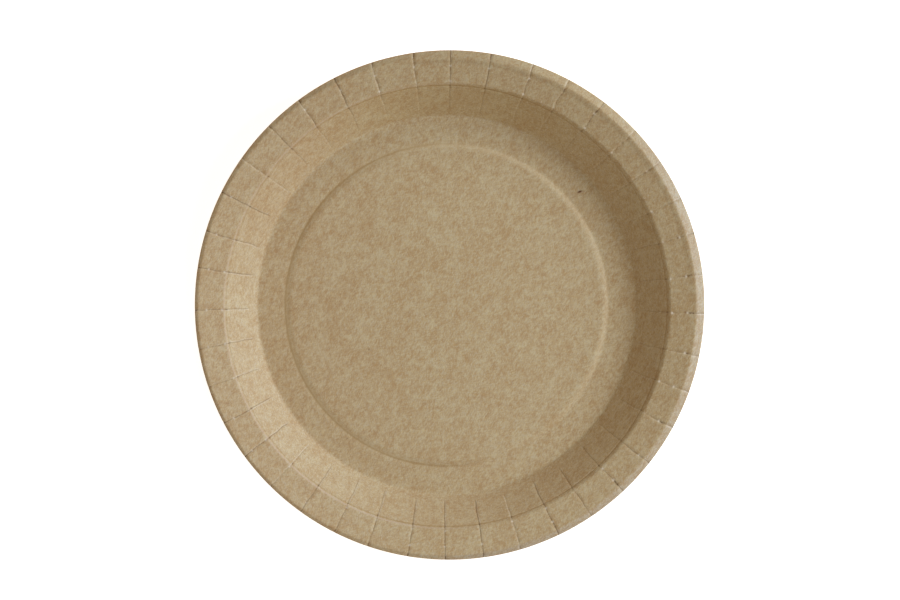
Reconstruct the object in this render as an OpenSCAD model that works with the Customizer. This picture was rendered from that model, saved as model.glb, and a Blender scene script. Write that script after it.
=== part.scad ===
// Pressed paperboard plate: one round blank, scored round its edge and pressed in a die.
// The origin is at the centre of the cut edge, in the plane that the foot ring rests on.

/* [Outline] */
// Diameter across the cut edge, seen from above
plate_d = 180; // [150:1:230]
// Height from the table to the top of the rim
plate_h = 15; // [12:0.5:20]
// Thickness of the pressed board
board_t = 0.45; // [0.35:0.05:0.6]
// How far the blank lay off the die's centre when it was pressed
press_shift = 1; // [0:0.05:1.2]
// Direction in which the blank lay off, from the +X axis, in degrees
press_turn = 24; // [0:1:359]

/* [Rim] */
// Width of the rim, from the wall's top fold to the lip's fold
rim_w = 8.9; // [7:0.1:12]
// Rise of the rim towards its outer fold, in degrees
rim_tilt = 15.5; // [5:0.5:20]
// Width of the turned-down lip, seen from above, on a blank that lay true
lip_w = 2; // [1.8:0.1:4]
// Fall of the lip below the level, in degrees
lip_tilt = 26; // [20:1:50]

/* [Wall and floor] */
// Run of the wall, from the floor's fold to the rim's fold, seen from above
wall_run = 11.5; // [9:0.1:15]
// Width of the flat foot ring, between the panel's step and the wall
foot_w = 9.9; // [6:0.1:14]
// Rise of the centre panel above the foot ring
panel_rise = 0.75; // [0.5:0.05:1.2]
// Slope of the step round the centre panel, in degrees
step_tilt = 21; // [15:1:26]

/* [Bends] */
// Bend radius of the shoulder round the centre panel, at the middle of the board
shoulder_r = 6; // [1:0.5:8]
// Bend radius at the bottom of the panel's step
step_r = 1; // [0.6:0.1:2]
// Bend radius between floor and wall
foot_r = 2; // [1.6:0.1:4]
// Bend radius between wall and rim
rim_r = 1.6; // [1:0.1:2.8]
// Bend radius between rim and lip
lip_r = 1; // [0.6:0.1:1.4]

/* [Pinch line] */
// Width of the die's pinch line, just inside the rim's fold
pinch_w = 0.9; // [0.4:0.1:1.2]
// Depth of the pinch line
pinch_depth = 0.14; // [0.05:0.01:0.15]
// Distance up the wall from the pinch line to the rim's fold
pinch_inset = 1.4; // [1.2:0.1:3]

/* [Pleats] */
// Number of scored pleats round the edge
pleat_count = 40; // [24:1:60]
// Direction of the first pleat from the +X axis, in degrees, before it wanders
pleat_first = 8.27; // [0:0.01:9]
// How far the scoring wandered from an even pitch, in degrees
pleat_wander = 1.1; // [0:0.1:1.5]
// How far one pleat strays from its neighbours' line, in degrees
pleat_stray = 0.38; // [0:0.01:0.8]
// Width of a pleat's open seam at the edge of the plate
seam_w = 0.5; // [0.3:0.05:0.8]
// Depth of the seam in the upper face
seam_depth = 0.16; // [0.05:0.01:0.18]
// Width of the gathered fold below a seam, at the edge of the plate
gather_w = 1.8; // [1:0.1:2.4]
// Height of the gathered fold below the under face
gather_h = 0.14; // [0.05:0.01:0.2]
// Distance along the wall from the floor's fold to a pleat's inner end
pleat_start = 2.2; // [2:0.1:6]
// Distance along the wall in which a pleat comes to its full depth
pleat_fade = 3; // [1:0.1:4]

/* [Hidden] */
// Degrees of turn for each flat step of a bend in the section
bend_step = 10;
// Spare length and height that a cutter has past what it cuts
spare = 1;
$fn = 180;

plate_r = plate_d / 2;
half_t = board_t / 2;

// Radii of the section's folds about the die's axis
lip_fold = plate_r - lip_w;
rim_fold = lip_fold - rim_w;
foot_fold = rim_fold - wall_run;
step_fold = foot_fold - foot_w;
panel_fold = step_fold - panel_rise / tan(step_tilt);
die_r = plate_r + press_shift + spare;

// Heights of the folds at the middle of the board, worked back from the rim's top
lip_reach = lip_r * tan((rim_tilt + lip_tilt) / 2);
lip_z = plate_h - half_t - lip_r * (1 - cos(rim_tilt)) + lip_reach * sin(rim_tilt);
rim_z = lip_z - rim_w * tan(rim_tilt);
foot_z = half_t;
panel_z = foot_z + panel_rise;
wall_tilt = atan2(rim_z - foot_z, wall_run);

// Each fold of the section is [radius, height, bend radius], from the centre outwards
foot_end = [foot_fold, foot_z, foot_r];
rim_end = [rim_fold, rim_z, rim_r];
lip_end = [lip_fold, lip_z, lip_r];
edge_end = [die_r, lip_z - (die_r - lip_fold) * tan(lip_tilt)];
floor_folds = [
    [0, panel_z],
    [panel_fold, panel_z, shoulder_r],
    [step_fold, foot_z, step_r],
    foot_end,
    rim_end
];

function heading(a, b) = atan2(b[1] - a[1], b[0] - a[0]);

// A point moved square to a direction, towards the upper face
function lifted(p, angle, d) = [p[0] - d * sin(angle), p[1] + d * cos(angle)];

// The points of one fold on the face that lies d above the middle of the board
function bent(a, b, c, d) =
    let (
        into = heading(a, b),
        turn = heading(b, c) - into,
        side = sign(turn),
        steps = max(1, round(abs(turn) / bend_step)),
        reach = b[2] * tan(abs(turn) / 2),
        start = [b[0] - reach * cos(into), b[1] - reach * sin(into)],
        centre = lifted(start, into, side * b[2])
    )
    [for (i = [0:steps]) lifted(centre, into + turn * i / steps, d - side * b[2])];

// The folds from floor to wall, on the face that lies d above the middle of the board
function floor_face(d) = concat(
    [lifted(floor_folds[0], 0, d)],
    [for (i = [1:len(floor_folds) - 2])
        each bent(floor_folds[i - 1], floor_folds[i], floor_folds[i + 1], d)]
);

// The folds from wall to cut edge, on the face that lies d above the middle of the board
function brim_face(d) = concat(
    bent(foot_end, rim_end, lip_end, d),
    bent(rim_end, lip_end, edge_end, d),
    [lifted(edge_end, -lip_tilt, d)]
);

// A point of the wall, at a distance up the slope from the floor's fold
function on_wall(up, d) = lifted(
    [foot_fold + up * cos(wall_tilt), foot_z + up * sin(wall_tilt)],
    wall_tilt,
    d
);

wall_length = wall_run / cos(wall_tilt);
pinch_up = wall_length - pinch_inset;

// The pinch line that the die's edge leaves across the upper face of the wall
pinch_line = [
    on_wall(pinch_up - pinch_w / 2, half_t),
    on_wall(pinch_up, half_t - pinch_depth),
    on_wall(pinch_up + pinch_w / 2, half_t)
];

function reversed(points) = [for (i = [len(points) - 1:-1:0]) points[i]];

// The board itself, pressed and not yet cut to its round edge
module board() {
    rotate_extrude()
        polygon(concat(
            floor_face(-half_t),
            brim_face(-half_t),
            reversed(brim_face(half_t)),
            reversed(pinch_line),
            reversed(floor_face(half_t))
        ));
}

pitch = 360 / pleat_count;
// Turn that makes the strays of the pleats follow no pattern
stray_turn = 64;

function pleat_angle(i) =
    pleat_first
    + pitch * i
    - pleat_wander * cos(pitch * i)
    + pleat_stray * sin(stray_turn * i * i);

// The gathered board that stands below the under face, along every pleat
module gathers() {
    under = concat(
        [on_wall(pleat_start, 0)],
        [on_wall(pleat_start + pleat_fade, -half_t - gather_h)],
        brim_face(-half_t - gather_h)
    );
    flare = gather_w / 2 / (plate_r - foot_fold) * (die_r - foot_fold);
    intersection() {
        rotate_extrude()
            polygon(concat(under, reversed(brim_face(0))));
        for (i = [0:pleat_count - 1])
            rotate(pleat_angle(i))
                linear_extrude(height = plate_h + spare)
                    polygon([
                        [foot_fold, 0],
                        [die_r, flare],
                        [die_r, -flare]
                    ]);
    }
}

// The open seam between a pleat's two edges, which sinks slowly into the upper face
module seams() {
    seam_angle = 2 * asin(seam_w / plate_d);
    floor = concat(
        [on_wall(pleat_start, half_t + spare)],
        [on_wall(pleat_start, half_t + seam_depth)],
        [on_wall(pleat_start + pleat_fade, half_t - seam_depth)],
        brim_face(half_t - seam_depth)
    );
    for (i = [0:pleat_count - 1])
        rotate(pleat_angle(i) - seam_angle / 2)
            rotate_extrude(angle = seam_angle)
                polygon(concat(floor, reversed(brim_face(half_t + spare))));
}

// The blank's cut edge, round about the origin while the pressing is off it
module blank() {
    translate([0, 0, -spare])
        cylinder(h = plate_h + 2 * spare, r = plate_r);
}

module plate() {
    color("tan")
        intersection() {
            blank();
            translate([-press_shift * cos(press_turn), -press_shift * sin(press_turn), 0])
                difference() {
                    union() {
                        board();
                        gathers();
                    }
                    seams();
                }
        }
}

plate();
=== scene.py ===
# %% [markdown]
# # A pressed kraft paper plate
# The real plate is one round sheet of brown board. It is scored at forty places round its edge, laid in a
# heated die and pressed, so the sheet can gather at the scores where the die makes it smaller round.
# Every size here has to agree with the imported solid, so the script opens that model before anything else.

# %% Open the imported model
import math

import bpy
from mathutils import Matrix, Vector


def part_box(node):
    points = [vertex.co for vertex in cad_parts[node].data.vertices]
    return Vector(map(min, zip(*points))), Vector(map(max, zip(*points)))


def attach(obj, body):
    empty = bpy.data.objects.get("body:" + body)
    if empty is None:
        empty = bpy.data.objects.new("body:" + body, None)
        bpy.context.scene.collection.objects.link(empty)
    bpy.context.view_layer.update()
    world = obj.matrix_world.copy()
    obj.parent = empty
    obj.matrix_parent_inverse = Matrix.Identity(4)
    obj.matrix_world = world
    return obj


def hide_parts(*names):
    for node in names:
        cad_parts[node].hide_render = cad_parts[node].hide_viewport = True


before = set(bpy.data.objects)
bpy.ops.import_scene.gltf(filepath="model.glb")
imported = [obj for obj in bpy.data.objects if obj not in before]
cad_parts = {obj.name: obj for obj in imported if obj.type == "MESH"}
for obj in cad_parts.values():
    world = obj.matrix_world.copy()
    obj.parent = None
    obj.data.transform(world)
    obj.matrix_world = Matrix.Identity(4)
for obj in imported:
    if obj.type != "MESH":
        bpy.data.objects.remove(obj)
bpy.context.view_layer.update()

# %% [markdown]
# ## The die's sizes
# A press tool is drawn as a section: flat panel, step, foot ring, wall, rim and lip, each meeting the next
# in a fold with its own bend radius. The outer diameter is read from the solid. The others are the solid's
# own values, written again in millimetres, because this script can't read its source. Only the shoulder,
# the step and the foot bend a little more sharply here, which moves the surface by hundredths of a
# millimetre and makes the shadows along them as narrow as the photograph's.

# %% Sizes of the pressing
MM = 0.001
low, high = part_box("plate")
plate_r = (high[0] - low[0]) / 2
plate_h = 15 * MM
board_t = 0.45 * MM
half_t = board_t / 2
press_shift = 1.0 * MM
press_turn = math.radians(24)

lip_w = 2 * MM
rim_w = 8.9 * MM
wall_run = 11.5 * MM
foot_w = 9.9 * MM
panel_rise = 0.75 * MM
rim_tilt = math.radians(15.5)
lip_tilt = math.radians(26)
step_tilt = math.radians(21)

shoulder_r = 4.5 * MM
step_r = 0.6 * MM
foot_r = 1.6 * MM
rim_r = 1.6 * MM
lip_r = 1.0 * MM
print("plate", round(2 * plate_r / MM, 2), "mm across,", round(plate_h / MM, 2), "mm high")

# %% [markdown]
# ## The folds of the section
# The section is worked back from the top of the rim, as a toolmaker does, because the plate's height is what
# is ordered. Each fold is a corner with a radius, and the wall's angle follows from the folds at its ends.

# %% Place the folds
lip_fold = plate_r - lip_w
rim_fold = lip_fold - rim_w
foot_fold = rim_fold - wall_run
step_fold = foot_fold - foot_w
panel_fold = step_fold - panel_rise / math.tan(step_tilt)

lip_reach = lip_r * math.tan((rim_tilt + lip_tilt) / 2)
lip_z = plate_h - half_t - lip_r * (1 - math.cos(rim_tilt)) + lip_reach * math.sin(rim_tilt)
rim_z = lip_z - rim_w * math.tan(rim_tilt)
end_r = plate_r - half_t * math.sin(lip_tilt)
end_z = lip_z - (end_r - lip_fold) * math.tan(lip_tilt)
wall_tilt = math.atan2(rim_z - half_t, wall_run)

folds = [
    ("centre", 0, half_t + panel_rise, 0),
    ("panel", panel_fold, half_t + panel_rise, shoulder_r),
    ("step", step_fold, half_t, step_r),
    ("foot", foot_fold, half_t, foot_r),
    ("rim", rim_fold, rim_z, rim_r),
    ("lip", lip_fold, lip_z, lip_r),
    ("edge", end_r, end_z, 0),
]
print("wall at", round(math.degrees(wall_tilt), 1), "degrees, rim fold at", round(rim_z / MM, 2), "mm")

# %% [markdown]
# ## One line through the middle of the board
# Sheet that is only bent keeps its thickness, so the line along its middle describes both faces: each face
# lies half a thickness to its side. The line is a chain of straights and arcs. A function that gives the
# point and the direction at any distance along it lets the mesh be as fine as each part of it needs.

# %% Chain the straights and the arcs
def turn_at(index):
    """The direction into a fold, how much it turns, and how far the bend reaches along each side."""
    (_, r0, z0, _), (_, r1, z1, bend), (_, r2, z2, _) = folds[index - 1:index + 2]
    into = math.atan2(z1 - z0, r1 - r0)
    turn = math.atan2(z2 - z1, r2 - r1) - into
    return into, turn, bend * math.tan(abs(turn) / 2)


pieces = []
bends = {}
at = (folds[0][1], folds[0][2])
travelled = 0
for index in range(1, len(folds)):
    name, corner_r, corner_z, bend = folds[index]
    last = index == len(folds) - 1
    into, turn, reach = (0, 0, 0) if last else turn_at(index)
    heading = math.atan2(corner_z - folds[index - 1][2], corner_r - folds[index - 1][1])
    stop = (corner_r - reach * math.cos(heading), corner_z - reach * math.sin(heading))
    length = math.dist(at, stop)
    pieces.append((travelled, length, at, heading, 0))
    travelled += length
    if not last:
        pieces.append((travelled, bend * abs(turn), stop, heading, math.copysign(1 / bend, turn)))
        bends[name] = (travelled, travelled + bend * abs(turn))
        travelled += bend * abs(turn)
        at = (corner_r + reach * math.cos(heading + turn), corner_z + reach * math.sin(heading + turn))
line_length = travelled
bend_starts = {name: round(begin / MM, 1) for name, (begin, _) in bends.items()}
print("line of", round(line_length / MM, 2), "mm, with bends that begin at", bend_starts)


def along(distance):
    """The radius, the height and the heading of the board's middle, at a distance from the centre."""
    start, length, (r, z), heading, curl = [p for p in pieces if p[0] <= distance + 1e-12][-1]
    run = distance - start
    if curl == 0:
        return r + run * math.cos(heading), z + run * math.sin(heading), heading
    now = heading + run * curl
    return (r + (math.sin(now) - math.sin(heading)) / curl,
            z - (math.cos(now) - math.cos(heading)) / curl, now)

# %% [markdown]
# ## Stations along the line
# The flat panel needs almost no points, a bend needs many, and the wall and the rim need enough for the
# pleats to be pressed into them. So each stretch has its own spacing, and the under face, which carries
# less detail, takes every second station.

# %% Choose the stations
pinch_inset = 1.4 * MM
pinch = bends["rim"][0] + rim_r * math.tan((wall_tilt - rim_tilt) / 2) - pinch_inset
pleat_zero = (bends["foot"][0] + bends["foot"][1]) / 2

# Fine stations are needed from here to just past the step, and again from just before the pinch line
step_zone = 54 * MM
step_end = bends["step"][1] + 0.4 * MM
pinch_zone = pinch - 0.75 * MM

# Each stretch is where it begins, where it ends, and the spacing of its stations
stretches = [
    (0, step_zone, 13.5 * MM),
    (step_zone, step_end, 0.34 * MM),
    (step_end, bends["foot"][0], 1.8 * MM),
    (bends["foot"][0], bends["foot"][1], 0.33 * MM),
    (bends["foot"][1], pinch_zone, 0.62 * MM),
    (pinch_zone, bends["rim"][0], 0.16 * MM),
    (bends["rim"][0], bends["rim"][1], 0.2 * MM),
    (bends["rim"][1], bends["lip"][0], 0.5 * MM),
    (bends["lip"][0], bends["lip"][1], 0.12 * MM),
    (bends["lip"][1], line_length, 0.3 * MM),
]
stations = [0]
for begin, finish, spacing in stretches:
    count = max(1, round((finish - begin) / spacing))
    stations += [begin + (finish - begin) * i / count for i in range(1, count + 1)]
under_stations = stations[::-2] if len(stations) % 2 else [line_length] + stations[-2::-2]
print(len(stations), "stations on the upper face,", len(under_stations), "on the under face")

# %% [markdown]
# ## The section as a line of points
# The mesh for Geometry Nodes to turn is only this section: a closed walk from the centre along the upper
# face, round the cut edge, and back along the under face. Each point carries what the tree needs to know,
# as named attributes: which way is out of the board, which face it is on, how far along the board it
# lies, and how far down the lip.

# %% Make the section
edge_round = 0.05 * MM
edge_in = 0.55

walk = [(distance, 1, 0) for distance in stations]
walk += [(line_length, edge_in, edge_round), (line_length, -edge_in, edge_round)]
walk += [(distance, -1, 0) for distance in under_stations]

points = []
outs = []
faces = []
runs = []
lips = []
for distance, face, push in walk:
    r, z, heading = along(distance)
    normal = (-math.sin(heading), 0, math.cos(heading))
    r += push * math.cos(heading) + face * half_t * normal[0]
    z += push * math.sin(heading) + face * half_t * normal[2]
    points.append((max(r, 0), 0, z))
    outs.append(tuple(math.copysign(1, face) * part for part in normal))
    faces.append(face)
    runs.append(distance - pleat_zero)
    lips.append(max(0, distance + push - bends["lip"][1]))

section_mesh = bpy.data.meshes.new("section")
section_mesh.from_pydata(points, [(i, i + 1) for i in range(len(points) - 1)], [])
for name, kind, values in (("out", "FLOAT_VECTOR", outs), ("face", "FLOAT", faces),
                           ("run", "FLOAT", runs), ("lip", "FLOAT", lips)):
    layer = section_mesh.attributes.new(name, kind, "POINT")
    for item, value in zip(layer.data, values):
        if kind == "FLOAT_VECTOR":
            item.vector = value
        else:
            item.value = value
print("section of", len(points), "points")

# %% [markdown]
# ## Arithmetic in a node tree
# Both Geometry Nodes and materials work out numbers with Math nodes, and a formula of twenty of them is hard
# to read as links. A small class whose objects stand for sockets lets Python's own signs make the nodes, so
# that the formulas below read as formulas.

# %% A number in a tree
class Field:
    """A number that a node tree works out at each point."""

    def __init__(self, tree, socket):
        self.tree = tree
        self.socket = socket

    def __add__(self, other):
        return sum_up(self.tree, "ADD", self, other)

    def __radd__(self, other):
        return sum_up(self.tree, "ADD", other, self)

    def __sub__(self, other):
        return sum_up(self.tree, "SUBTRACT", self, other)

    def __rsub__(self, other):
        return sum_up(self.tree, "SUBTRACT", other, self)

    def __mul__(self, other):
        return sum_up(self.tree, "MULTIPLY", self, other)

    def __rmul__(self, other):
        return sum_up(self.tree, "MULTIPLY", other, self)

    def __truediv__(self, other):
        return sum_up(self.tree, "DIVIDE", self, other)

    def __neg__(self):
        return sum_up(self.tree, "MULTIPLY", self, -1)


def feed(tree, value, socket):
    """Join a field to a socket, or write a plain value on it."""
    if isinstance(value, Field):
        tree.links.new(value.socket, socket)
    else:
        socket.default_value = value


def sum_up(tree, operation, first, second=None):
    node = tree.nodes.new("ShaderNodeMath")
    node.operation = operation
    feed(tree, first, node.inputs[0])
    if second is not None:
        feed(tree, second, node.inputs[1])
    return Field(tree, node.outputs[0])


def apply(operation, field, other=None):
    return sum_up(field.tree, operation, field, other)


def hump(field):
    """1 at zero, falling away smoothly on both sides."""
    return apply("EXPONENT", -(field * field))


def ramp(field, start, end):
    """0 up to the start, 1 from the end, and smooth between."""
    node = field.tree.nodes.new("ShaderNodeMapRange")
    node.interpolation_type = "SMOOTHSTEP"
    feed(field.tree, field, node.inputs["Value"])
    feed(field.tree, start, node.inputs["From Min"])
    feed(field.tree, end, node.inputs["From Max"])
    return Field(field.tree, node.outputs["Result"])


def blend(low_field, high_field, part):
    return low_field + (high_field - low_field) * part

# %% [markdown]
# ## The pressing as a tree
# The tree lays out a flat grid, one row of points for each direction round the plate, and then moves every
# point to where the section is in that direction. The rows crowd together at the pleats, so that a seam a
# third of a millimetre wide has real geometry while the board between two pleats stays light.

# %% Start the tree and its inputs
tree = bpy.data.node_groups.new("pressed plate", "GeometryNodeTree")
tree.interface.new_socket("Section", in_out="INPUT", socket_type="NodeSocketGeometry")
tree.interface.new_socket("Plate", in_out="OUTPUT", socket_type="NodeSocketGeometry")

settings = {
    "Pleats": 40,
    "Steps to a pleat": 14,
    "First pleat": 8.27,
    "Wander": 1.1,
    "Stray": 0.38,
    "Stray turn": 64.0,
    "Seam depth": 0.17 * MM,
    "Seam width": 0.7 * MM,
    "Flank height": 0.05 * MM,
    "Flank width": 1.1 * MM,
    "Pucker height": 0.12 * MM,
    "Gather height": 0.14 * MM,
    "Gather width": 1.8 * MM,
    "Pleat start": 1.2 * MM,
    "Pleat fade": 3.0 * MM,
    "Pinch depth": 0.18 * MM,
    "Press shift": press_shift,
    "Press turn": press_turn,
    "Edge radius": plate_r,
    "Seed": 7,
}
for name, value in settings.items():
    kind = "NodeSocketInt" if isinstance(value, int) else "NodeSocketFloat"
    tree.interface.new_socket(name, in_out="INPUT", socket_type=kind).default_value = value
tree.interface.new_socket("Board", in_out="INPUT", socket_type="NodeSocketMaterial")

entry = tree.nodes.new("NodeGroupInput")
given = {name: Field(tree, entry.outputs[name]) for name in settings}
print(len(settings), "named inputs")

# %% [markdown]
# ## Which pleat, and which direction
# A point's number in the grid gives its row and its place on the section. Between two pleats the rows follow
# a square law, close together at each pleat and wide apart halfway. The pleats themselves are not quite
# even: the scoring lay a little off the die, which shows as a slow wander round the plate, and each score
# strays a little by itself.

# %% Find the direction of each row
index = Field(tree, tree.nodes.new("GeometryNodeInputIndex").outputs[0])
size = tree.nodes.new("GeometryNodeAttributeDomainSize")
tree.links.new(entry.outputs["Section"], size.inputs["Geometry"])
rings = Field(tree, size.outputs["Point Count"])

row = apply("FLOOR", (index + 0.5) / rings)
ring = index - row * rings
steps = given["Steps to a pleat"]
before = apply("FLOOR", (row + 0.5) / steps)
part = (row - before * steps) / steps
nearer = apply("MINIMUM", part, 1 - part)
JUST_UNDER_HALF = 0.499
past = apply("GREATER_THAN", part, JUST_UNDER_HALF)
crowd = nearer * nearer * 2
share = past + crowd * (1 - 2 * past)
nearest = before + past

DEGREE = math.pi / 180
pitch = sum_up(tree, "DIVIDE", 360.0, given["Pleats"])


def direction(number):
    """Where a pleat points, in degrees, from its number."""
    turns = apply("FLOOR", (number + 0.5) / given["Pleats"])
    own = number - turns * given["Pleats"]
    wander = given["Wander"] * apply("COSINE", pitch * own * DEGREE)
    stray = given["Stray"] * apply("SINE", given["Stray turn"] * own * own * DEGREE)
    return turns * 360 + given["First pleat"] + pitch * own - wander + stray


def chance(number, offset):
    """A fixed random number from 0 to 1 for a pleat."""
    node = tree.nodes.new("FunctionNodeRandomValue")
    node.data_type = "FLOAT"
    own = number - apply("FLOOR", (number + 0.5) / given["Pleats"]) * given["Pleats"]
    feed(tree, own + 0.25, [s for s in node.inputs if s.name == "ID"][0])
    feed(tree, given["Seed"] + offset, [s for s in node.inputs if s.name == "Seed"][0])
    return Field(tree, [s for s in node.outputs if s.enabled][0])


plain_angle = blend(direction(before), direction(before + 1), share)

# %% [markdown]
# ## Read the section
# Sample Index fetches a point of the section and its attributes for every point of the grid.

# %% Fetch the section's values
def fetch(name, kind):
    node = tree.nodes.new("GeometryNodeSampleIndex")
    node.data_type = kind
    node.domain = "POINT"
    tree.links.new(entry.outputs["Section"], node.inputs["Geometry"])
    if name == "position":
        source = tree.nodes.new("GeometryNodeInputPosition")
    else:
        source = tree.nodes.new("GeometryNodeInputNamedAttribute")
        source.data_type = kind
        source.inputs["Name"].default_value = name
    tree.links.new(source.outputs[0], node.inputs["Value"])
    feed(tree, ring, node.inputs["Index"])
    return node.outputs["Value"]


def split(socket):
    node = tree.nodes.new("ShaderNodeSeparateXYZ")
    tree.links.new(socket, node.inputs[0])
    return Field(tree, node.outputs["X"]), Field(tree, node.outputs["Z"])


radius, height = split(fetch("position", "FLOAT_VECTOR"))
out_r, out_z = split(fetch("out", "FLOAT_VECTOR"))
face = Field(tree, fetch("face", "FLOAT"))
run = Field(tree, fetch("run", "FLOAT"))
lip = Field(tree, fetch("lip", "FLOAT"))
on_top = apply("GREATER_THAN", face, 0.9)
below = apply("LESS_THAN", face, -0.9)

# %% [markdown]
# ## The pleats' relief
# Where the press folds the surplus board, one edge of the score slides under the other. Seen from above
# that is a thin open seam with a slightly raised flank on one side. Under the plate the folded board stands
# out as a low ridge that widens towards the edge. Both fade in on the wall, each pleat at its own place,
# and both are lumpy where the die folds the board twice: at the rim's fold and before the lip.

# %% Press the pleats into the board
def lumps(number, scale, offset):
    """Smooth noise from 0 to 1 along a pleat."""
    node = tree.nodes.new("ShaderNodeTexNoise")
    join = tree.nodes.new("ShaderNodeCombineXYZ")
    own = number - apply("FLOOR", (number + 0.5) / given["Pleats"]) * given["Pleats"]
    feed(tree, own * 7.31 + offset, join.inputs[0])
    feed(tree, run * scale, join.inputs[1])
    tree.links.new(join.outputs[0], node.inputs["Vector"])
    node.inputs["Scale"].default_value = 1
    node.inputs["Detail"].default_value = 1
    return Field(tree, node.outputs[0])


SWAY_WIDTH = 1.2 * MM
SWAY_RADIUS = 84 * MM
SWAY_SCALE = 160
sway = blend(lumps(before, SWAY_SCALE, 3.7), lumps(before + 1, SWAY_SCALE, 3.7), share) - 0.5
angle = plain_angle * DEGREE + sway * (SWAY_WIDTH / SWAY_RADIUS)
across = (plain_angle - direction(nearest)) * DEGREE * radius

START_SPREAD = 2.4 * MM
WEAR_SCALE = 420
own_start = given["Pleat start"] + chance(nearest, 11) * START_SPREAD
fade = ramp(run, own_start, own_start + given["Pleat fade"])
worn = 0.3 + 1.1 * ramp(lumps(nearest, WEAR_SCALE, 51.0), 0.32, 0.62)

# A seam gets deeper up the rim and down the lip, and towards +Y it is shallow on the wall
far_side = ramp(apply("SINE", angle), 0.6, 0.95)
on_wall = ramp(run, 14 * MM, 12 * MM)
up_rim = ramp(run, 15 * MM, 19 * MM)
down_lip = ramp(lip, 0.0, 0.5 * MM)
strength = fade * worn * (0.75 - 0.5 * far_side * on_wall + 0.25 * up_rim + 0.7 * down_lip)

seam = hump(across / (given["Seam width"] * 0.5))
side = apply("SIGN", chance(nearest, 23) - 0.3)
over = across * side
flank_fall = apply("EXPONENT", -(apply("MAXIMUM", over, 0.0) / given["Flank width"]))
flank = ramp(over, 0.02 * MM, 0.16 * MM) * flank_fall

rim_at = (bends["rim"][0] + bends["rim"][1]) / 2 - pleat_zero
lip_at = bends["lip"][0] - pleat_zero
outer_rim = lip_at - 2.4 * MM
PUCKER_LENGTH = 0.8 * MM
PUCKER_WIDTH = 0.5 * MM
pucker = hump((run - rim_at) / PUCKER_LENGTH) * chance(nearest, 31)
pucker = pucker + hump((run - outer_rim) / PUCKER_LENGTH) * chance(nearest, 37)
pucker = pucker * hump(across / PUCKER_WIDTH) * fade

# The die's pinching edge lay a little towards -X of the folds
PINCH_SLIP = 0.3 * MM
GROOVE_WIDTH = 0.25 * MM
pinch_run = (pinch - pleat_zero) - PINCH_SLIP * apply("COSINE", angle)
groove = hump((run - pinch_run) / GROOVE_WIDTH)

upper = (given["Flank height"] * flank * fade
         - given["Seam depth"] * seam * strength
         + given["Pucker height"] * pucker
         - given["Pinch depth"] * groove)

GATHER_RUN = 24 * MM
GATHER_LEAST = 0.2 * MM
spread = given["Gather width"] * ramp(run, 0.0, GATHER_RUN) * 0.5 + GATHER_LEAST
gather = 1 - ramp(apply("ABSOLUTE", across), spread * 0.6, spread)
lower = given["Gather height"] * gather * fade
relief = on_top * upper + below * lower

# %% [markdown]
# ## The cut edge
# The blank was cut round before it was pressed, and it lay a millimetre off the die. So the folds are
# circles about one centre and the edge is a circle about another, and the lip is wide at one side and
# narrow at the other. The lip's points are drawn out or in along its slope to reach that second circle.

# %% Place every point
cosine = apply("COSINE", angle)
sine = apply("SINE", angle)
shift = given["Press shift"]
shift_x = shift * apply("COSINE", given["Press turn"])
shift_y = shift * apply("SINE", given["Press turn"])
reach_out = given["Edge radius"]
ahead = shift_x * cosine + shift_y * sine
aside = shift_x * sine - shift_y * cosine
edge_at = ahead + apply("SQRT", reach_out * reach_out - aside * aside)
lip_length = line_length - bends["lip"][1]
drawn = lip * (edge_at - reach_out) * (1 / (math.cos(lip_tilt) * lip_length))
hem = (1 - lip * (1 / lip_length)) * (lip_length + (edge_at - reach_out) * (1 / math.cos(lip_tilt)))

final_r = radius + out_r * relief + drawn * math.cos(lip_tilt)
final_z = height + out_z * relief - drawn * math.sin(lip_tilt)

place = tree.nodes.new("ShaderNodeCombineXYZ")
feed(tree, final_r * cosine - shift_x, place.inputs[0])
feed(tree, final_r * sine - shift_y, place.inputs[1])
feed(tree, final_z, place.inputs[2])

grid = tree.nodes.new("GeometryNodeMeshGrid")
feed(tree, given["Pleats"] * steps + 1, grid.inputs["Vertices X"])
feed(tree, rings, grid.inputs["Vertices Y"])

move = tree.nodes.new("GeometryNodeSetPosition")
tree.links.new(grid.outputs["Mesh"], move.inputs["Geometry"])
tree.links.new(place.outputs[0], move.inputs["Position"])

# %% [markdown]
# ## What the finish needs to know
# Seams, flanks and nodules have their shape here, and the material paints shade into the seams and
# highlights onto the flanks and nodules. The tree writes where every point lies on its pleat, in
# millimetres, and the material works out the fine marks from that. The distance from a pleat is stored
# without its sign, because only then is it right between two points.

# %% Store the finish's attributes and end the tree
def store(chain, name, field):
    node = tree.nodes.new("GeometryNodeStoreNamedAttribute")
    node.data_type = "FLOAT"
    node.domain = "POINT"
    node.inputs["Name"].default_value = name
    tree.links.new(chain, node.inputs["Geometry"])
    feed(tree, field, node.inputs["Value"])
    return node.outputs["Geometry"]


chain = store(move.outputs["Geometry"], "away", apply("ABSOLUTE", across) / MM)
chain = store(chain, "over", over / MM)
chain = store(chain, "run", run / MM)
chain = store(chain, "pleated", fade * on_top)
chain = store(chain, "luck", chance(nearest, 41))
chain = store(chain, "upper", on_top)
chain = store(chain, "hem", hem / MM)
chain = store(chain, "cut", 1 - apply("GREATER_THAN", apply("ABSOLUTE", face), 0.9))

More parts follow.
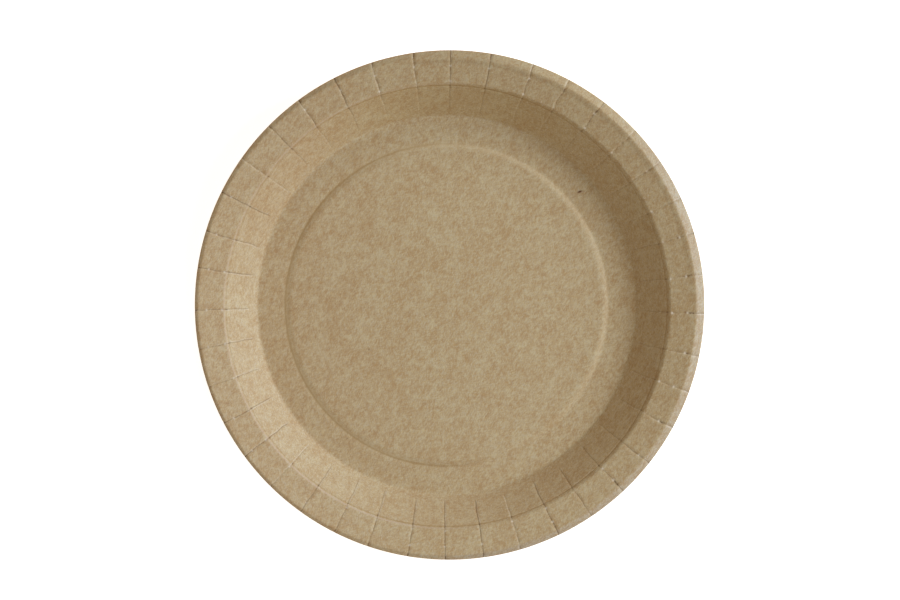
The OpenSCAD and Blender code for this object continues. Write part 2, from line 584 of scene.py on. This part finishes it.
merge = tree.nodes.new("GeometryNodeMergeByDistance")
MERGE_DISTANCE = 0.0005 * MM
merge.inputs["Distance"].default_value = MERGE_DISTANCE
tree.links.new(chain, merge.inputs["Geometry"])
smooth = tree.nodes.new("GeometryNodeSetShadeSmooth")
tree.links.new(merge.outputs["Geometry"], smooth.inputs["Geometry"])
realize = tree.nodes.new("GeometryNodeRealizeInstances")
tree.links.new(smooth.outputs["Geometry"], realize.inputs["Geometry"])
paint = tree.nodes.new("GeometryNodeSetMaterial")
tree.links.new(realize.outputs["Geometry"], paint.inputs["Geometry"])
tree.links.new(entry.outputs["Board"], paint.inputs["Material"])
leave = tree.nodes.new("NodeGroupOutput")
tree.links.new(paint.outputs["Geometry"], leave.inputs["Plate"])
print(len(tree.nodes), "nodes in the tree")

# %% [markdown]
# ## The board's finish
# Kraft board is unbleached, so its colour is that of the wood fibres themselves, and no two patches hold the
# same amount of them. From a step away that makes clouds of beige and brown. From near it is a mat of short
# strokes, most of them lying along the way the sheet left the paper machine. Every layer is noise in cells
# of a known length and width in millimetres, on the object's own coordinates.

# %% Layers of fibre
board = bpy.data.materials.new("kraft board")
board.use_nodes = True
shade = board.node_tree
surface = shade.nodes["Principled BSDF"]
GRAIN_TURN = math.radians(58)
BEND_CELL = 4 * MM
BEND_REACH = 1.0 * MM

position = shade.nodes.new("ShaderNodeTexCoord").outputs["Object"]
bend_noise = shade.nodes.new("ShaderNodeTexNoise")
shade.links.new(position, bend_noise.inputs["Vector"])
bend_noise.inputs["Scale"].default_value = 1 / BEND_CELL
bend_noise.inputs["Detail"].default_value = 1
bend_by = shade.nodes.new("ShaderNodeVectorMath")
bend_by.operation = "MULTIPLY_ADD"
shade.links.new(bend_noise.outputs["Color"], bend_by.inputs[0])
bend_by.inputs[1].default_value = (BEND_REACH, BEND_REACH, BEND_REACH)
shade.links.new(position, bend_by.inputs[2])
bent_position = bend_by.outputs[0]


def grain(length, width, turn, detail, shift, source=bent_position):
    """Noise round zero, in cells of a length along a direction and a width across it, in millimetres."""
    mapping = shade.nodes.new("ShaderNodeMapping")
    mapping.vector_type = "TEXTURE"
    mapping.inputs["Location"].default_value = (shift * MM, shift * MM, 0)
    mapping.inputs["Rotation"].default_value = (0, 0, turn)
    mapping.inputs["Scale"].default_value = (length * MM, width * MM, width * MM)
    shade.links.new(source, mapping.inputs["Vector"])
    noise = shade.nodes.new("ShaderNodeTexNoise")
    noise.inputs["Scale"].default_value = 1
    noise.inputs["Detail"].default_value = detail
    noise.inputs["Roughness"].default_value = 1
    shade.links.new(mapping.outputs[0], noise.inputs["Vector"])
    return Field(shade, noise.outputs[0]) - 0.5


clouds = grain(15, 15, 0, 2, 31, position)
flocks = grain(3.3, 2.4, GRAIN_TURN, 2, 77)
strokes = (grain(1.9, 0.42, GRAIN_TURN, 0, 5) * 1.1
           + grain(1.9, 0.42, GRAIN_TURN - 0.7, 0, 19)
           + grain(1.9, 0.42, GRAIN_TURN + 0.7, 0, 43))
dust = grain(0.48, 0.3, GRAIN_TURN, 1, 59)
fibres = (grain(2.4, 0.2, GRAIN_TURN, 0, 3) * 1.1
          + grain(2.4, 0.2, GRAIN_TURN - 0.85, 0, 13)
          + grain(2.4, 0.2, GRAIN_TURN + 0.85, 0, 23))
tone = clouds * 0.65 + flocks * 1.5 + strokes * 0.55 + dust * 1.0 + fibres * 0.5
hue = grain(0.8, 0.6, GRAIN_TURN, 2, 67)

# %% [markdown]
# ## Painted light and shade along the pleats and round the plate
# Every seam is painted with shade and its raised flank with a highlight. Where a pleat crosses the rim's
# fold and where it nears the lip, the doubled board is pinched into a small nodule that is painted with a
# highlight, with a dash of painted shade beyond it. The attributes from the tree say where each of these
# lies. Other fields say which part and which side of the plate a point is on, because the tint leans from
# side to side: by a few per cent in most places, and on the lit wall by up to a fifth in blue. Most of that
# lean is painted light and shade, and so are the shade along the step, the highlight beside the pinch line,
# the shade before the lip and the shade at the cut edge. Besides that, the left half is a little redder, a
# band along the step is paler and the pinch line is a deep brown.

# %% Seams, flanks, nodules and the pinch line
def attribute(name):
    node = shade.nodes.new("ShaderNodeAttribute")
    node.attribute_name = name
    return Field(shade, node.outputs["Fac"])


split_position = shade.nodes.new("ShaderNodeSeparateXYZ")
shade.links.new(position, split_position.inputs[0])
at_x = Field(shade, split_position.outputs["X"]) * (1 / MM)
at_y = Field(shade, split_position.outputs["Y"]) * (1 / MM)
away = attribute("away")
past_seam = attribute("over")
run_mm = attribute("run")
pleated = attribute("pleated")
luck = attribute("luck")
upper_face = attribute("upper")

wobble = grain(0.9, 0.9, 0, 1, 91, position)
seam_line = hump((away + wobble * 0.3) / 0.17) * pleated * (0.8 + wobble * 2.4)
flank_line = hump((past_seam - 0.38 + wobble * 0.3) / 0.17) * pleated * (0.8 + wobble * 2.4)


def other(step):
    """Another random number for a pleat, from the first."""
    return apply("FRACT", luck * step)


# Where the folds and rings lie along the board, in millimetres from the foot's fold
RIM_MM = rim_at / MM
LIP_MM = lip_at / MM
OUTER_MM = outer_rim / MM
PINCH_MM = (pinch - pleat_zero) / MM
STEP_MM = ((bends["panel"][1] + bends["step"][0]) / 2 - pleat_zero) / MM
CREASE_MM = (bends["step"][0] - pleat_zero) / MM
PINCH_RADIUS_MM = 81

# The parts and the sides of the plate
on_lip = ramp(run_mm, LIP_MM, LIP_MM + 0.8)
right_side = ramp(at_x, 10, 65)
wall_part = ramp(run_mm, 0.0, 1.5) * ramp(RIM_MM - run_mm, 0.0, 0.8) * upper_face
top_wall = wall_part * ramp(at_y, 35, 65)
# The wall's painted light and shade, by side: the middle of its top, its top-right corner, its lit left side,
# its shaded right side and the far right of that
top_middle_wall_painted_shade = wall_part * ramp(at_y, 20, 60) * (1 - ramp(apply("ABSOLUTE", at_x), 20, 55))
top_right_wall_painted_light = wall_part * ramp(at_x + at_y, 80, 105)
left_wall_painted_light = wall_part * ramp(-at_x, -5, 60) * (1 - ramp(at_y, 0, 35) * 0.7)
right_wall_painted_lift = wall_part * ramp(at_x, -10, 40)
far_right_wall_painted_shade = wall_part * ramp(at_x, 55, 75)
left_part = ramp(-at_x, 0, 70) * upper_face
middle = 1 - ramp(apply("ABSOLUTE", at_x), 20, 60)

# Painted highlights on the raised nodules, and painted shade in the dashes and dots beside them,
# at the rim's fold and before the lip
knot_run = run_mm - OUTER_MM + (other(5.3) - 0.5) * 0.9
outer_knot = hump(knot_run / 0.34) * hump((away + wobble * 0.4) / 0.45) * ramp(luck, 0.15, 0.6)
dash_end = LIP_MM - other(6.1) * 1.1
outer_dash = (ramp(knot_run, 0.35, 0.7) * ramp(run_mm, dash_end + 0.4, dash_end)
              * hump((away + wobble * 1.1) / 0.4) * (0.75 + wobble * 3.5))
inner_dot = hump((knot_run + 0.75) / 0.35) * hump((away + wobble * 0.5) / 0.32)
rim_knot = (hump((run_mm - RIM_MM - 0.55) / 0.36) * hump((past_seam - 0.15) / 0.4)
            * ramp(other(9.1), 0.2, 0.7))
rim_dash = hump((run_mm - PINCH_MM) / 0.5) * hump(away / 0.32)

# Lines round the plate: the pinch line in deep brown, a painted highlight on the ridge beside it, and
# painted shade along the step on the left and along the cut edge away from the right
pinch_place = PINCH_MM - at_x * (PINCH_SLIP / MM / PINCH_RADIUS_MM)
pinch_line = hump((run_mm - pinch_place) / 0.23) * upper_face
painted_ridge_band = hump((run_mm - pinch_place - 0.95) / 0.27) * upper_face
step_shade_band = hump((run_mm - CREASE_MM + 0.15) / 0.46) * upper_face
edge_shade_band = ramp(attribute("hem"), 0.45, 0.12) * upper_face * (1 - ramp(at_x, -20, 40))
pinch_line_and_step_shade = pinch_line * (0.3 + middle * 0.3) + step_shade_band * 0.6 * (1 - ramp(at_x, -15, 15))
ridge_highlight = (painted_ridge_band * (0.6 - ramp(-at_x, 50, 75) * 0.2) * (1 - ramp(at_x, -25, 20))
          * (1 - ramp(at_y, 20, 80) * 0.5))
shaded_cut_edge = edge_shade_band * (0.25 + ramp(at_y, -20, 60) * 0.5)

# Painted shade on the rim and lip towards +Y and in the valley before the lip, painted light on the lip's
# lit right side, and a paler band along the step
rim_top_painted_shade = (ramp(run_mm, RIM_MM, RIM_MM + 1) * ramp(at_y, 20, 85) * upper_face
         * (0.35 + 0.6 * on_lip * (ramp(at_x, -85, -45) - ramp(at_x, 10, 40) * 0.55)))
# Painted shade in the valley just inside the lip's fold, on the upper right
lip_valley_shade = (hump((run_mm - LIP_MM + 1.1) / 0.7) * ramp(at_y, -5, 15)
              * ramp(at_x, -30, 0) * upper_face)
# Painted light on the lip's lit right side
lip_painted_light = on_lip * ramp(at_x - at_y * 0.5, 10, 65) * upper_face
# A paler band along the step, most at the bottom left and none at the bottom right
paler_step_band = (hump((run_mm - STEP_MM) / 1.1) * upper_face
          * (1 - ramp(-at_y, 10, 50) * ramp(at_x, -30, 0)
             + ramp(-at_x, 0, 40) * (0.5 - ramp(at_y, 0, 30))))

# All the painted shade along a pleat, in its seam, dashes and dots, and all its painted highlights,
# on its flank and nodules
seam_shade = 0.46 - right_side * 0.26
pleat_painted_shade = (seam_line * seam_shade * (0.5 + luck * 0.9) * (1 + on_lip * 0.6) * (1 - top_wall * 0.7)
          + outer_dash * pleated * right_side * ramp(other(3.7), 0.1, 0.5) * 0.85
          + inner_dot * pleated * right_side * 0.6 * other(7.7)
          + rim_dash * pleated * 0.4)
flank_shine = 0.06 + on_lip * 0.18 + wall_part * 0.2 * ramp(-at_x - at_y, 0, 70)
pleat_painted_highlight = (flank_line * flank_shine
           + outer_knot * pleated * (0.45 + right_side * 0.3)
           + rim_knot * pleated * (0.5 + right_side * 0.3))
print("marks between", round(STEP_MM, 1), "and", round(LIP_MM, 1), "mm from the foot's fold")

# %% [markdown]
# ## Specks
# Unbleached pulp always holds a few shives, dark splinters of wood that weren't pulped. This plate shows one
# as long as a grain of sugar and some that are hardly more than dots. Each is placed by its middle, its
# length, its width and its turn.

# %% Place the shives
def shive(x, y, length, width, turn):
    """A soft-ended stroke about a point, sizes in millimetres and the turn in degrees."""
    cosine, sine = math.cos(math.radians(turn)), math.sin(math.radians(turn))
    along_it = (at_x - x) * cosine + (at_y - y) * sine
    across_it = (at_y - y) * cosine - (at_x - x) * sine
    return hump(along_it * (2 / length)) * hump(across_it * (2 / width))


specks = (shive(28.7, 55.7, 0.6, 0.5, 40) + shive(-28.6, -16.1, 0.7, 0.5, 60)
          + shive(-8.4, -40.5, 0.5, 0.5, 0) + shive(-22.5, -40.9, 0.5, 0.4, 0)
          + shive(-36.3, -47.9, 0.6, 0.5, 30) + shive(68.0, -53.6, 0.8, 0.6, 140))
splinter = shive(46.6, 40.1, 1.5, 0.56, 22)
splinter_bark = shive(46.8, 40.0, 1.8, 0.85, 22) * upper_face
speck_shade = (specks * 0.4 + splinter * 1.2) * upper_face

# %% [markdown]
# ## Colour, sheen and the feel of the surface
# The mottling runs along one line of colours, from a browner one to a greener beige, in which blue changes
# most. The hot die leaves a faint sheen, and the mat of fibres gives the light something to catch on.

# %% Join the layers into the shader
def colour(red, green, blue):
    return (red, green, blue, 1)


def mix(kind, part, first, second):
    node = shade.nodes.new("ShaderNodeMix")
    node.data_type = "RGBA"
    node.blend_type = kind
    node.clamp_factor = True
    feed(shade, part, node.inputs["Factor"])
    for value, socket in ((first, node.inputs[6]), (second, node.inputs[7])):
        if isinstance(value, tuple):
            socket.default_value = value
        else:
            shade.links.new(value, socket)
    return node.outputs[2]


# The mean colour, the way the mottling leans from it, and how far it can go
MEAN = (0.536, 0.399, 0.2055)
LEAN = (0.28, 0.53, 0.8)
REACH = 0.45
brown = colour(*[m * (1 - REACH * c) for m, c in zip(MEAN, LEAN)])
beige = colour(*[m * (1 + REACH * c) for m, c in zip(MEAN, LEAN)])
mottled = mix("MIX", 0.5 + tone * (0.5 / REACH), brown, beige)
mottled = mix("MULTIPLY", 0.5 + hue * 3, mottled, colour(0.9, 0.925, 1.11))

# Each coat is the way it goes on, where it is, and its colour, from the first to the last
coats = (
    ("MULTIPLY", left_part, (1.005, 0.975, 0.972)),
    # Painted light and shade on the wall, by side: all of it warmer and a little dimmer, its shaded right
    # side lifted and the far right of that dimmed, its lit left side brighter and bluer, the middle of its
    # top less blue, and its top-right corner a touch greener and bluer
    ("MULTIPLY", wall_part, (0.985, 0.96, 0.945)),
    ("MULTIPLY", right_wall_painted_lift, (1.045, 1.04, 1.04)),
    ("MULTIPLY", far_right_wall_painted_shade, (0.94, 0.935, 0.93)),
    ("MULTIPLY", left_wall_painted_light, (1.075, 1.143, 1.222)),
    ("MULTIPLY", top_middle_wall_painted_shade, (0.98, 0.97, 0.91)),
    ("MULTIPLY", top_right_wall_painted_light, (1.0, 1.025, 1.03)),
    # Painted shade in the valley just inside the lip's fold
    ("MULTIPLY", lip_valley_shade, (0.9, 0.89, 0.87)),
    # The pinch line in deep brown, and painted shade along the step on the left
    ("MIX", pinch_line_and_step_shade, (0.36, 0.21, 0.065)),
    # Painted highlight on the ridge beside the pinch line, on the left
    ("MIX", ridge_highlight, (0.6, 0.47, 0.36)),
    # Painted shade on the rim and lip towards +Y
    ("MULTIPLY", rim_top_painted_shade, (0.8, 0.78, 0.74)),
    # Painted light on the lip's lit right side: less red, more blue
    ("MULTIPLY", lip_painted_light, (0.905, 0.94, 1.09)),
    # Painted shade along the cut edge, away from the right and most towards +Y
    ("MIX", shaded_cut_edge, (0.4, 0.21, 0.07)),
    # Painted shade in the pleats' seams, dashes and dots
    ("MIX", pleat_painted_shade, (0.12, 0.06, 0.018)),
    # Painted highlights on the pleats' flanks and nodules
    ("MIX", pleat_painted_highlight, (0.86, 0.8, 0.68)),
    ("MIX", paler_step_band * 0.2, (0.86, 0.72, 0.46)),
    ("MIX", splinter_bark * 0.75, (0.36, 0.15, 0.035)),
    ("MIX", speck_shade, (0.085, 0.028, 0.006)),
    ("MIX", attribute("cut") * 0.45, (0.3, 0.18, 0.08)),
)
marked = mottled
for kind, where, tint in coats:
    marked = mix(kind, where, marked, colour(*tint))
shade.links.new(marked, surface.inputs["Base Color"])

# The sheen of the hot die, broken by the strokes of fibre
ROUGHNESS = 0.66
SHEEN = 0.5
surface.inputs["Specular IOR Level"].default_value = SHEEN
feed(shade, ROUGHNESS + strokes * 0.12, surface.inputs["Roughness"])

FIBRE_HEIGHT = 0.02 * MM
bump = shade.nodes.new("ShaderNodeBump")
bump.inputs["Distance"].default_value = FIBRE_HEIGHT
bump.inputs["Strength"].default_value = 1
feed(shade, strokes + fibres * 0.8 + flocks * 0.6, bump.inputs["Height"])
shade.links.new(bump.outputs[0], surface.inputs["Normal"])
print(len(shade.nodes), "nodes in the material")

# %% [markdown]
# ## Turn the section into the plate
# The tree's inputs are set by each socket's own identifier, before the first evaluation. The result becomes
# a plain mesh, with no modifier left on it.

# %% Evaluate the tree
builder = bpy.data.objects.new("section", section_mesh)
bpy.context.scene.collection.objects.link(builder)
modifier = builder.modifiers.new("press", "NODES")
modifier.node_group = tree
for item in tree.interface.items_tree:
    if item.in_out == "INPUT" and item.name in settings:
        modifier[item.identifier] = settings[item.name]
    if item.in_out == "INPUT" and item.name == "Board":
        modifier[item.identifier] = board

depsgraph = bpy.context.evaluated_depsgraph_get()
plate_mesh = bpy.data.meshes.new_from_object(builder.evaluated_get(depsgraph), depsgraph=depsgraph)
plate_mesh.name = "pressed_plate"
bpy.data.objects.remove(builder)
plate = bpy.data.objects.new("pressed_plate", plate_mesh)
bpy.context.scene.collection.objects.link(plate)

triangles = sum(len(face.vertices) - 2 for face in plate_mesh.polygons)
print("pressed_plate:", len(plate_mesh.vertices), "points,", triangles, "triangles")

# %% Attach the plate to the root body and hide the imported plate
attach(plate, "root")
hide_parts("plate")

# %% [markdown]
# ## The floor and the light
# The photograph is a studio shot on pure white. Its light is tall and soft and stands at the right, which two
# square lamps one above the other make here. Three weak lamps and a dim warm world lift the other sides. The
# floor glows a little, so that it comes out pure white while the plate is lit as it should be.

# %% Floor, lights and world
FLOOR_HALF = 3.0
FLOOR_DROP = 0.05 * MM
floor_mesh = bpy.data.meshes.new("floor")
floor_corners = [(x * FLOOR_HALF, y * FLOOR_HALF, -FLOOR_DROP)
                 for x, y in ((-1, -1), (1, -1), (1, 1), (-1, 1))]
floor_mesh.from_pydata(floor_corners, [], [(0, 1, 2, 3)])
floor = bpy.data.objects.new("floor", floor_mesh)
bpy.context.scene.collection.objects.link(floor)
paper = bpy.data.materials.new("white floor")
paper.use_nodes = True
paper_surface = paper.node_tree.nodes["Principled BSDF"]
paper_surface.inputs["Base Color"].default_value = (0.9, 0.9, 0.9, 1)
paper_surface.inputs["Roughness"].default_value = 0.9
paper_surface.inputs["Specular IOR Level"].default_value = 0.1
paper_surface.inputs["Emission Color"].default_value = (1, 1, 1, 1)
paper_surface.inputs["Emission Strength"].default_value = 0.75
floor_mesh.materials.append(paper)


def softbox(name, turn, rise, distance, size, energy, tint=(1, 1, 1)):
    """A square lamp that faces the plate: direction and height in degrees, distance and size in metres."""
    turn, rise = math.radians(turn), math.radians(rise)
    lamp = bpy.data.lights.new(name, "AREA")
    lamp.shape = "SQUARE"
    lamp.size = size
    lamp.energy = energy
    lamp.color = tint
    stand = bpy.data.objects.new(name, lamp)
    stand.location = (distance * math.cos(rise) * math.cos(turn),
                      distance * math.cos(rise) * math.sin(turn),
                      distance * math.sin(rise))
    stand.rotation_euler = (math.pi / 2 - rise, 0, turn + math.pi / 2)
    bpy.context.scene.collection.objects.link(stand)


KEY_TINT = (0.93, 1.05, 1.2)
softbox("key", 18, 33, 1.2, 0.38, 7.0, KEY_TINT)
softbox("low key", 18, 17, 1.2, 0.25, 3.1, KEY_TINT)
softbox("fill", 300, 52, 0.9, 0.5, 1.8)
softbox("back fill", 92, 25, 1.2, 0.4, 2.4)
softbox("left fill", 240, 25, 1.2, 0.4, 0.9)
print(len(bpy.data.lights), "lamps")

world = bpy.data.worlds.new("studio")
world.use_nodes = True
backdrop = world.node_tree.nodes["Background"]
backdrop.inputs["Color"].default_value = (1, 0.8, 0.55, 1)
backdrop.inputs["Strength"].default_value = 0.22
bpy.context.scene.world = world
bpy.context.scene.view_settings.view_transform = "Standard"

# %% [markdown]
# ## The camera
# The photograph looks down from about two and a half degrees off the plumb line, which shows in how the low
# folds lie off the centre of the cut edge. A long lens keeps both nearly round. The camera aims at a point a
# little beside the plate's middle, as the photograph does.

# %% Camera
camera_height = 1.3
edge_height = 13.59 * MM
LENS = 145.86
camera_back = 46 * MM
camera_left = 34 * MM
aim_x, aim_y = -0.04 * MM, 1.94 * MM
camera_data = bpy.data.cameras.new("camera")
camera_data.sensor_width = 36
camera_data.lens = LENS
camera_data.clip_start = 0.1
camera = bpy.data.objects.new("camera", camera_data)
camera.location = (aim_x - camera_left, aim_y + camera_back, camera_height)
camera_drop = camera_height - edge_height
camera.rotation_euler = (
    -math.atan2(camera_back, math.hypot(camera_left, camera_drop)),
    -math.atan2(camera_left, camera_drop),
    0,
)
bpy.context.scene.collection.objects.link(camera)
bpy.context.scene.camera = camera
print("lens", round(camera_data.lens, 1), "mm")
